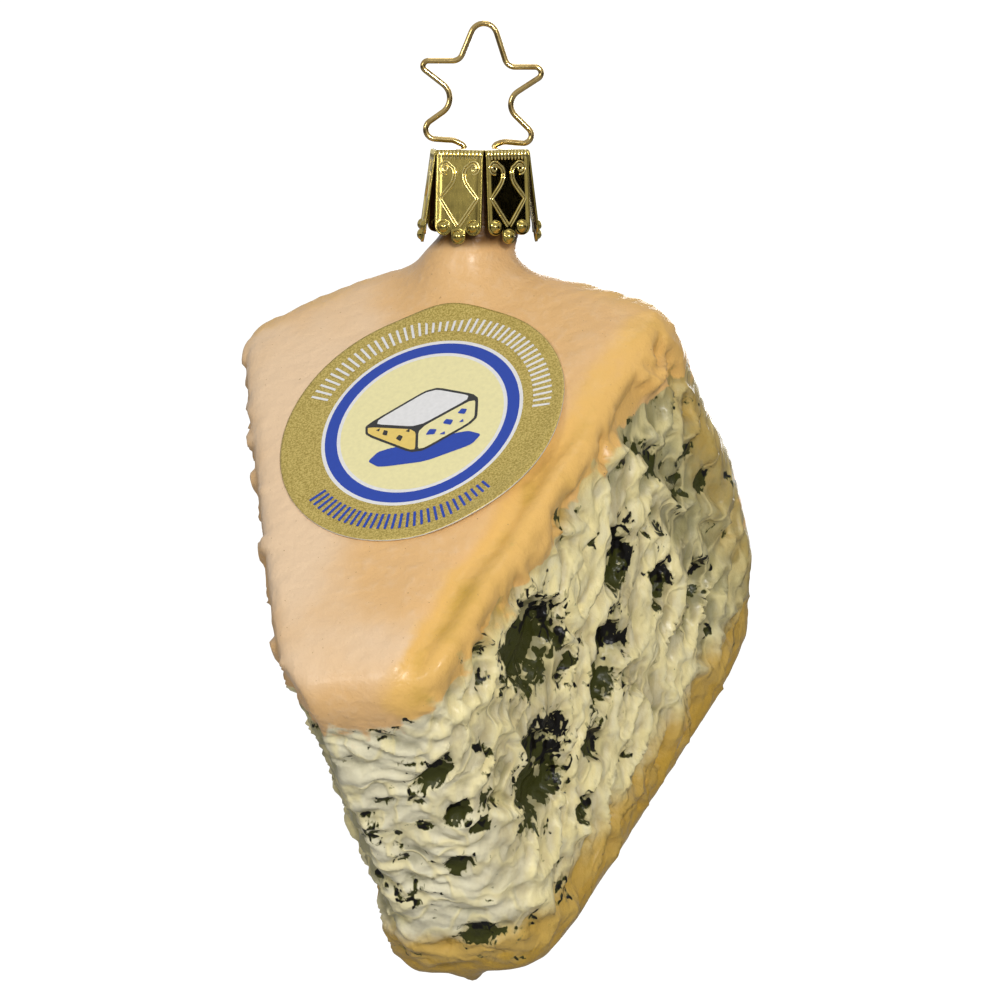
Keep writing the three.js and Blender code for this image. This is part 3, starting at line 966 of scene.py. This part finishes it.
def pressed_cap():
    """The six sides welded into one sheet, closed in the middle and given its thickness."""
    points, polygons = [], []
    for outward, flare in sides():
        sector_points, sector_polygons = cap_sector(outward, flare)
        polygons += [tuple(index + len(points) for index in face) for face in sector_polygons]
        points += sector_points
    piece = mesh_from("crown_cap_pressing", points, polygons)
    shape = bmesh.new()
    shape.from_mesh(piece.data)
    bmesh.ops.remove_doubles(shape, verts=shape.verts, dist=0.004 * MM)
    rim = [edge for edge in shape.edges if edge.is_boundary
           and all(math.hypot(*vert.co.xy) < 0.5 * MM for vert in edge.verts)]
    bmesh.ops.contextual_create(shape, geom=rim)
    bmesh.ops.recalc_face_normals(shape, faces=shape.faces)
    shape.to_mesh(piece.data)
    shape.free()
    apply_modifier(piece, "SOLIDIFY", thickness=sheet * MM, offset=-1)
    return piece


cap_brass = plated_brass("cap_brass", (0.46, 0.36, 0.10), (0.34, 0.26, 0.07), 0.14)
# The milled edge and the scrolls have a brighter plate: a painted highlight on the raised trim.
highlight_brass = plated_brass("highlight_brass", (0.86, 0.72, 0.30), (0.62, 0.50, 0.17), 0.10)
cap = pressed_cap()
for leg in (leg_left, leg_right):
    cut_away(cap, rod("hole", wire_hole, cap_top - 1, cap_top + 1, 24, leg))
cap.data.shade_smooth()
cap.data.materials.clear()
cap.data.materials.append(cap_brass)
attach(cap, "root")
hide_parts("crown_cap")

# The milled edge: short upright ribs set side by side along the fold of each tab.
rib_count, rib_thick, rib_tall = 12, 0.21, 0.58
rib_reach, rib_drop, rib_out = tab_half - 0.1, 0.8, apothem - 0.02
rib_places = []
for outward, _ in sides():
    for across in ((np.arange(rib_count) + 0.5) / rib_count * 2 - 1) * rib_reach:
        rib_places.append((rib_out * math.cos(outward) - across * math.sin(outward),
                           rib_out * math.sin(outward) + across * math.cos(outward),
                           cap_top - rib_drop))
milling = Growth("milled_edge", {"thickness": rib_thick * MM, "height": rib_tall * MM})
grain = milling.add("GeometryNodeMeshIcoSphere", {"Radius": milling.size("thickness")},
                    {"Subdivisions": 3})
stretch = milling.add("ShaderNodeMath", {0: milling.size("height"), 1: milling.size("thickness")},
                      operation="DIVIDE")
shape_of = milling.add("ShaderNodeCombineXYZ", {"Z": stretch.outputs[0]}, {"X": 1.0, "Y": 1.0})
ribs = milling.add("GeometryNodeInstanceOnPoints",
                   {"Points": milling.size("Geometry"), "Instance": grain.outputs["Mesh"],
                    "Scale": shape_of.outputs["Vector"]})
milling.end(ribs.outputs["Instances"], highlight_brass)
milled = milling.run(mesh_from("crown_cap_milled_edge", rib_places, []))

# Scrolls: an eye under the fold, then a double line that swings over it, in to the middle,
# out to a corner at the tab's edge and down to a point.
cord_radius, cord_spacing, cord_proud = 0.115, 0.17, 0.03
scroll_eye, curl_radius, eye_radius = (1.85, 2.5), 0.72, 0.3


def scroll_line(side_step):
    """One of the two lines of a right-hand scroll, moved sideways by side_step."""
    angles = np.radians(np.linspace(100, -150, 18))
    radii = curl_radius * np.linspace(0.75, 1.0, 18)
    curl = [np.array(scroll_eye) + radius * np.array([math.cos(angle), math.sin(angle)])
            for angle, radius in zip(angles, radii)]
    knots = curl + [np.array(knot) for knot in (
        (0.78, 2.45), (0.62, 3.0), (0.66, 3.6), (0.9, 4.2), (1.3, 4.75), (1.85, 5.4), (2.45, 6.1),
        (1.85, 6.95), (1.25, 7.8), (0.65, 8.65), (0.12, 9.35))]
    moved = []
    for before, knot, after in zip([knots[0]] + knots, knots, knots[1:] + [knots[-1]]):
        run = (after - before) / max(np.linalg.norm(after - before), 1e-6)
        moved.append(knot + side_step * np.array([-run[1], run[0]]))
    return moved


def on_tab(outward, flare, x, y, proud):
    """A point proud of a tab's outer face: x across, y down from the fold."""
    turn = math.radians(90) - flare
    arc = fold_radius * turn
    out = apothem - fold_radius + fold_radius * math.sin(turn)
    out += (y - arc) * math.sin(flare) + proud * math.cos(flare)
    drop = fold_radius * (1 - math.cos(turn)) + (y - arc) * math.cos(flare)
    return (out * math.cos(outward) - x * math.sin(outward),
            out * math.sin(outward) + x * math.cos(outward), cap_top - plate_dome - drop)


def scroll_paths():
    """Every line of the scrolls, two lines and an eye on each half of each tab."""
    turns = np.linspace(0, 2 * math.pi, 13)
    eye = np.array(scroll_eye) + eye_radius * np.stack([np.cos(turns), np.sin(turns)], 1)
    lines = [(scroll_line(-cord_spacing), cord_proud), (scroll_line(cord_spacing), cord_proud),
             (eye, 0.0)]
    points, edges = [], []
    for outward, flare in sides():
        for hand in (-1, 1):
            for line, proud in lines:
                edges += chained(len(line), len(points))
                points += [on_tab(outward, flare, hand * x, y, proud) for x, y in line]
    return points, edges


stamped_cord = swept_round("stamped_cord", cord_radius, 8, 0.14, highlight_brass)
scroll_points, scroll_edges = scroll_paths()
scrolls = stamped_cord.run(mesh_from("crown_cap_scrolls", scroll_points, [], scroll_edges))
for trim in (milled, scrolls):
    trim.data.shade_smooth()
    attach(trim, "root")
    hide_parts("crown_cap")

# ---- Paper label ------------------------------------------------------------------------------
# A paper sticker, a little longer than wide, glued to the top face after painting: a grained
# gold rim, plain printed rings and a small wedge in the middle. One side has begun to lift.
label_radius = 17.6
label_oval = np.array([0.98, 1.08])
label_to_nose, label_to_right_cut = -10.7, 6.5
label_lift, paper = 0.16, 0.2
label_curl, lifted_side = 0.5, np.array([0.94, -0.34])
label_centre = wedge_centre + label_to_nose * to_nose + label_to_right_cut * to_right_cut
label_level, label_rising = face_axes(out_of_top)


def on_label(flat, lift):
    """Lays flat points (right, up, from the label's middle) on the glass at a height."""
    flat = np.asarray(flat, float)
    oval = flat * label_oval
    spots = label_centre + oval[:, :1] * label_level + oval[:, 1:2] * label_rising
    spots = spots + out_of_top * faces["top"][1]
    for _ in range(6):
        normals, steepness = slope(spots)
        climb = np.maximum((normals @ out_of_top) * steepness, 0.2)
        spots = spots - out_of_top * (wedge_level(spots) / climb)[:, None]
    radius = np.hypot(flat[:, 0], flat[:, 1]) / label_radius
    towards_edge = flat @ lifted_side / label_radius
    curl = label_curl * ramp(radius, 0.82, 1.0) * ramp(towards_edge, 0.55, 0.95)
    return spots + out_of_top * (np.asarray(lift) + curl)[:, None]


def ink(name, colour):
    """Printing ink on coated paper, with a faint mottle."""
    paint = Coating(name)
    mottle = paint.noise(paint.place(), 0.5, 3)
    shade = tuple(part * 0.82 for part in colour)
    return paint.finish({"Base Color": paint.mix(mottle, shade, colour),
                         "Normal": paint.bump(mottle, 0.15, 0.02)}, Roughness=0.45)


def gold_grain():
    """Metallic ink laid over a grained screen."""
    paint = Coating("label_gold")
    sand = paint.noise(paint.place(), 0.22, 2, 0.7)
    tint = paint.mix(paint.ramp(sand, 0.35, 0.65), (0.34, 0.25, 0.045), (0.62, 0.48, 0.14))
    return paint.finish({"Base Color": tint, "Normal": paint.bump(sand, 0.4, 0.06)},
                        Roughness=0.42, Metallic=0.25)


inks = {"gold": gold_grain()}
for ink_name, colour in (
        ("white", (0.82, 0.81, 0.80)), ("blue", (0.012, 0.055, 0.40)),
        ("cream", (0.88, 0.80, 0.42)), ("paper", (0.7, 0.68, 0.62)),
        ("outline", (0.02, 0.02, 0.02)), ("butter", (0.85, 0.62, 0.16))):
    inks[ink_name] = ink("label_" + ink_name, colour)
# Printed zones from the rim to the middle: outer radius as a share of the label's, and ink.
zones = [(1.0, "gold"), (0.71, "white"), (0.685, "blue"), (0.60, "white"), (0.575, "cream")]


def label_sheet():
    """The paper disc with its printed zones: rings from the edge in, above and below."""
    sides_round = 160
    even_rings = {0.985, 0.97, 0.94, 0.9, 0.8, 0.4, 0.3, 0.2, 0.1}
    stops = sorted({share for share, _ in zones} | even_rings, reverse=True)
    back_stops = (1.0, 0.9, 0.5)
    top_lift = paper + label_lift
    angles = np.linspace(0, 2 * math.pi, sides_round, endpoint=False)
    turns = np.stack([np.cos(angles), np.sin(angles)], 1)
    rings = [share * label_radius * turns for share in (*stops, *back_stops)]
    flat = np.concatenate([np.zeros((1, 2)), *rings, np.zeros((1, 2))])
    lifts = np.full(len(flat), label_lift)
    lifts[:1 + len(stops) * sides_round] = top_lift
    names = list(inks)
    polygons, kinds = [], []

    def ring(outer, inner, kind):
        for index in range(sides_round):
            after = (index + 1) % sides_round
            polygons.append((outer + index, outer + after, inner + after, inner + index))
            kinds.append(names.index(kind))

    for level, share in enumerate(stops[:-1]):
        kind = [name for edge, name in zones if edge >= share - 1e-6][-1]
        ring(1 + level * sides_round, 1 + (level + 1) * sides_round, kind)
    last = 1 + (len(stops) - 1) * sides_round
    under = 1 + len(stops) * sides_round
    back = under + (len(back_stops) - 1) * sides_round
    ring(under, 1, "paper")
    ring(under + sides_round, under, "paper")
    ring(back, under + sides_round, "paper")
    for index in range(sides_round):
        after = (index + 1) % sides_round
        polygons += [(last + index, last + after, 0), (back + after, back + index, len(flat) - 1)]
        kinds += [names.index("cream"), names.index("paper")]
    disc = mesh_from("label_sheet", on_label(flat, lifts), polygons)
    for name in names:
        disc.data.materials.append(inks[name])
    disc.data.polygons.foreach_set("material_index", kinds)
    disc.data.shade_smooth()
    return disc


sticker = label_sheet()

# The raised print: a wedge of veined cheese on a board, drawn as flat shapes one over another,
# x to the right and y up from the label's middle.
first_layer, ink_layer = 0.02, 0.035 / 6
rise_angle = math.radians(18)
drawing = [
    ("blue", [(-6.6, -4.3), (-5.2, -5.6), (0.5, -6.3), (6.2, -5.3), (7.4, -4.0), (5.6, -2.9),
              (-5.2, -3.0)]),
    ("outline", [(-7.0, -0.1), (-0.6, -4.95), (6.85, -1.7), (6.95, 2.3), (1.2, 5.3), (-7.05, 1.5)]),
    ("butter", [(-6.7, 0.05), (-0.75, -4.45), (-0.75, -0.95), (-6.75, 1.15)]),
    ("cream", [(-0.4, -4.5), (6.5, -1.5), (6.6, 1.95), (-0.4, -0.95)]),
    ("white", [(-6.3, 1.5), (-0.5, -0.6), (6.35, 2.25), (1.15, 4.95)]),
    ("outline", [(-4.9, -0.6), (-4.3, -0.9), (-4.2, -0.2), (-4.7, 0.1)]),
    ("outline", [(-3.2, -1.7), (-2.6, -2.3), (-2.3, -1.6), (-2.8, -1.2)]),
    ("outline", [(-2.0, -0.9), (-1.5, -1.2), (-1.5, -0.6)]),
    ("outline", [(-5.7, 0.3), (-5.3, 0.0), (-5.2, 0.5)]),
    ("blue", [(0.5, -2.2), (1.6, -2.4), (1.9, -1.7), (1.0, -1.4)]),
    ("blue", [(2.6, -1.0), (3.6, -1.5), (3.9, -0.8), (3.0, -0.4)]),
    ("blue", [(4.4, 0.1), (5.3, -0.3), (5.6, 0.4), (4.9, 0.7)]),
    ("blue", [(2.2, -2.6), (2.9, -2.8), (2.9, -2.3)]),
    ("blue", [(4.6, -1.4), (5.2, -1.5), (5.1, -1.0)]),
]


def rounded_shape(corners, cut=0.12, rounds=2):
    """The outline with its corners cut again and again until they are round."""
    outline = np.array(corners, float)
    for _ in range(rounds):
        after = np.roll(outline, -1, axis=0)
        outline = np.stack([outline * (1 - cut) + after * cut,
                            outline * cut + after * (1 - cut)], 1).reshape(-1, 2)
    return outline


def printed_shape(number, colour, corners):
    """One flat shape of ink, laid just above what is printed under it."""
    outline = rounded_shape(corners)
    turn = np.array([[math.cos(rise_angle), math.sin(rise_angle)],
                     [-math.sin(rise_angle), math.cos(rise_angle)]])
    shape = bmesh.new()
    corners_in = [shape.verts.new((x, y, 0)) for x, y in outline @ turn]
    shape.faces.new(corners_in)
    bmesh.ops.triangulate(shape, faces=shape.faces)
    for _ in range(3):
        bmesh.ops.subdivide_edges(shape, edges=shape.edges, cuts=1, use_grid_fill=True)
    flat = np.array([vert.co[:2] for vert in shape.verts])
    lift = np.full(len(flat), label_lift + paper + first_layer + ink_layer * (number + 1))
    for vert, spot in zip(shape.verts, on_label(flat, lift)):
        vert.co = spot * MM
    piece = mesh_from("print", [(0, 0, 0)], [])
    shape.to_mesh(piece.data)
    shape.free()
    piece.data.materials.append(inks[colour])
    return piece


def joined(name, pieces):
    """One piece of several, with the materials of each kept."""
    for piece in bpy.context.scene.objects:
        piece.select_set(piece in pieces)
    bpy.context.view_layer.objects.active = pieces[0]
    bpy.ops.object.join()
    pieces[0].name = name
    pieces[0].select_set(False)
    return pieces[0]


picture = joined("label_picture", [
    printed_shape(number, colour, corners) for number, (colour, corners) in enumerate(drawing)])

# Two arcs of short raised bars round the gold rim, white above and blue below.
bar_thick, bar_length, bar_depth = 0.30, 2.3, 0.08
bar_rise, bar_ring = 0.05, 14.9


def bar_arc(name, colour, from_angle, to_angle, count):
    """Short upright bars set along an arc of the rim by a tree of nodes."""
    angles = np.radians(np.linspace(from_angle, to_angle, count))
    ahead = np.stack([np.cos(angles), np.sin(angles)], 1)
    lift = np.full(count, label_lift + paper + bar_rise)
    arc = mesh_from(name, on_label(bar_ring * ahead, lift), [])
    outward = arc.data.attributes.new("outward", "FLOAT_VECTOR", "POINT")
    directions = ahead[:, :1] * label_level + ahead[:, 1:] * label_rising
    outward.data.foreach_set("vector", directions.ravel())
    tree = Growth(name, {"thickness": bar_thick * MM, "length": bar_length * MM,
                         "depth": bar_depth * MM})
    size = tree.add("ShaderNodeCombineXYZ", {"X": tree.size("length"), "Y": tree.size("thickness"),
                                             "Z": tree.size("depth")})
    bar = tree.add("GeometryNodeMeshCube", {"Size": size.outputs["Vector"]},
                   {"Vertices X": 5, "Vertices Y": 3, "Vertices Z": 2})
    where = tree.add("GeometryNodeInputNamedAttribute", {}, {"Name": "outward"},
                     data_type="FLOAT_VECTOR")
    lean = tree.add("FunctionNodeAlignRotationToVector", {"Vector": where.outputs["Attribute"]},
                    axis="X")
    face_up = tree.add("FunctionNodeAlignRotationToVector",
                       {"Rotation": lean.outputs["Rotation"]}, {"Vector": tuple(out_of_top)},
                       axis="Z", pivot_axis="X")
    bars = tree.add("GeometryNodeInstanceOnPoints",
                    {"Points": tree.size("Geometry"), "Instance": bar.outputs["Mesh"],
                     "Rotation": face_up.outputs["Rotation"]})
    tree.end(bars.outputs["Instances"], inks[colour])
    return tree.run(arc)


upper_bars = bar_arc("label_upper_bars", "white", 168, 12, 47)
lower_bars = bar_arc("label_lower_bars", "blue", 230, 322, 29)
for printed in (sticker, picture, upper_bars, lower_bars):
    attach(printed, "root")
    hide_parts("label")

# ---- Studio -------------------------------------------------------------------------------
# A white room: a wide pale floor well below the hanging ornament, soft lamps in front, above,
# below and behind, and two dark cards that are seen only in reflections.
scene = bpy.context.scene
scene.view_settings.view_transform = "Standard"
world = bpy.data.worlds.new("white_room")
scene.world = world
world.use_nodes = True
room = world.node_tree
ray = room.nodes.new("ShaderNodeLightPath")
room_light, seen_white, glossy_white = 0.27, 0.73, 0.38


def brighter_for(rays, extra):
    """A node that adds extra to a strength for one kind of rays, and its strength's socket."""
    made = room.nodes.new("ShaderNodeMath")
    made.operation = "MULTIPLY_ADD"
    made.inputs[1].default_value = extra
    room.links.new(ray.outputs[rays], made.inputs[0])
    return made, made.inputs[2]


gloss_share, plain_strength = brighter_for("Is Glossy Ray", glossy_white)
plain_strength.default_value = room_light
room_strength, glossed_strength = brighter_for("Is Camera Ray", seen_white)
room.links.new(gloss_share.outputs[0], glossed_strength)
room.nodes["Background"].inputs["Color"].default_value = (1.0, 1.0, 1.0, 1)
room.links.new(room_strength.outputs[0], room.nodes["Background"].inputs["Strength"])

square = ((-1, -1), (1, -1), (1, 1), (-1, 1))
floor_drop, floor_half, floor_seen, floor_light = 250.0, 40000.0, 0.9, 0.05
floor = mesh_from("floor", [(x * floor_half, y * floor_half, -floor_drop) for x, y in square],
                  [(0, 1, 2, 3)])
floor_paint = Coating("floor_paint")
seen_directly = floor_paint.add("LightPath").outputs["Is Camera Ray"]
floor_glow = floor_paint.math("MULTIPLY_ADD", seen_directly, floor_seen, floor_light)
floor.data.materials.append(floor_paint.finish(
    {"Emission Strength": floor_glow}, Base_Color=(0.35, 0.35, 0.35, 1), Roughness=0.9,
    Emission_Color=(1, 1, 1, 1)))


def soft_lamp(name, place, size, power):
    """A square soft lamp, in metres and watts, turned towards the ornament."""
    data = bpy.data.lights.new(name, "AREA")
    data.energy = power
    data.size = size
    lamp = bpy.data.objects.new(name, data)
    bpy.context.collection.objects.link(lamp)
    lamp.location = place
    lamp.rotation_euler = (Vector(view_centre) - Vector(place)).to_track_quat("-Z", "Y").to_euler()


soft_lamp("key_lamp", (-0.52, -0.68, 0.16), 0.20, 1.7)
soft_lamp("front_lamp", (0.16, -0.86, 0.20), 0.12, 4.7)
soft_lamp("top_lamp", (0.10, 0.05, 0.70), 0.30, 0.8)
soft_lamp("low_lamp", (0.02, -0.80, -0.42), 0.30, 2.8)
soft_lamp("back_lamp", (0.15, 0.85, 0.10), 0.40, 3.0)


def dark_card(name, place, size):
    """A black card seen only in reflections, in metres, facing the ornament."""
    turn = (Vector(view_centre) - Vector(place)).to_track_quat("Z", "Y")
    corners = [turn @ Vector((x * size, y * size, 0)) + Vector(place) for x, y in square]
    card = mesh_from(name, np.array(corners) / MM, [(0, 1, 2, 3)])
    card.data.materials.append(
        Coating(name).finish({}, Base_Color=(0.0, 0.0, 0.0, 1), Specular_IOR_Level=0.0))
    card.visible_camera = False
    card.visible_diffuse = False
    card.visible_shadow = False


dark_card("dark_card_right", (0.55, -0.22, -0.02), 0.17)
dark_card("dark_card_left", (-0.50, -0.30, -0.10), 0.12)
